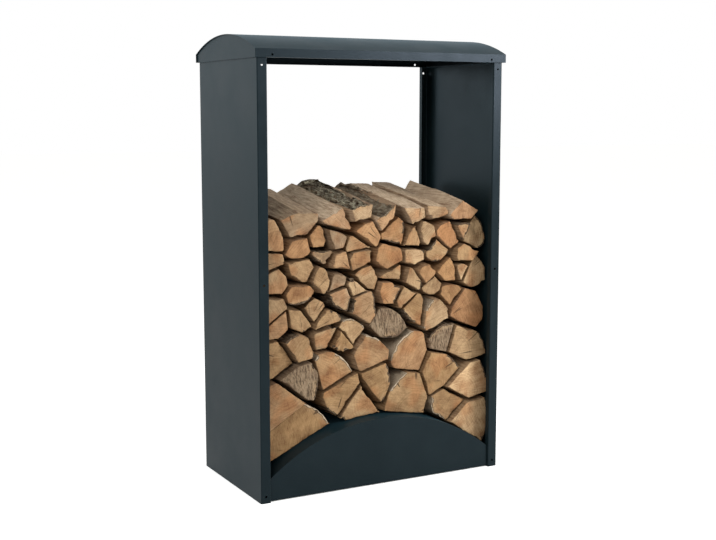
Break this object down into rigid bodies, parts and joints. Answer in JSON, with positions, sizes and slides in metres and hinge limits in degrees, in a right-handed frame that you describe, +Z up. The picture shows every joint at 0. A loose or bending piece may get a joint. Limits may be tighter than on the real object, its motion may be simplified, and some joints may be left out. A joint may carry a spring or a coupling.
{
  "type": "log store",
  "caption": "Open-fronted sheet-steel log store with folded sides, a barrel roof, an arched floor and a stack of split firewood that shows through front and back.",
  "frame": {"origin": "on the ground, in the middle of the store's width and depth", "axes": "+X along the front to the right, +Y from front to back, +Z up"},
  "size_m": [0.836, 0.456, 1.3484],
  "materials": {
    "powder_coated_steel": "satin anthracite powder coat",
    "split_firewood": "raw split hardwood with bark"
  },
  "bodies": {
    "root": {"left_side_panel": "powder_coated_steel", "right_side_panel": "powder_coated_steel", "roof_sheet": "powder_coated_steel", "left_gable": "powder_coated_steel", "right_gable": "powder_coated_steel", "arched_floor": "powder_coated_steel", "front_kick_panel": "powder_coated_steel", "back_kick_panel": "powder_coated_steel", "logs_row_1_1": "split_firewood", "logs_row_1_2": "split_firewood", "logs_row_1_3": "split_firewood", "logs_row_2_1": "split_firewood", "logs_row_2_2": "split_firewood", "logs_row_2_3": "split_firewood", "logs_row_3_1": "split_firewood", "logs_row_3_2": "split_firewood", "logs_row_3_3": "split_firewood", "logs_row_4_1": "split_firewood", "logs_row_4_2": "split_firewood", "logs_row_4_3": "split_firewood", "logs_row_4_4": "split_firewood", "logs_row_4_5": "split_firewood", "logs_row_5_1": "split_firewood", "logs_row_5_2": "split_firewood", "logs_row_5_3": "split_firewood", "logs_row_5_4": "split_firewood", "logs_row_5_5": "split_firewood", "logs_row_6_1": "split_firewood", "logs_row_6_2": "split_firewood", "logs_row_6_3": "split_firewood", "logs_row_6_4": "split_firewood", "logs_row_6_5": "split_firewood", "logs_row_7_1": "split_firewood", "logs_row_7_2": "split_firewood", "logs_row_7_3": "split_firewood", "logs_row_7_4": "split_firewood", "logs_row_7_5": "split_firewood", "logs_row_7_6": "split_firewood", "logs_row_7_7": "split_firewood"}
  },
  "joints": []
}
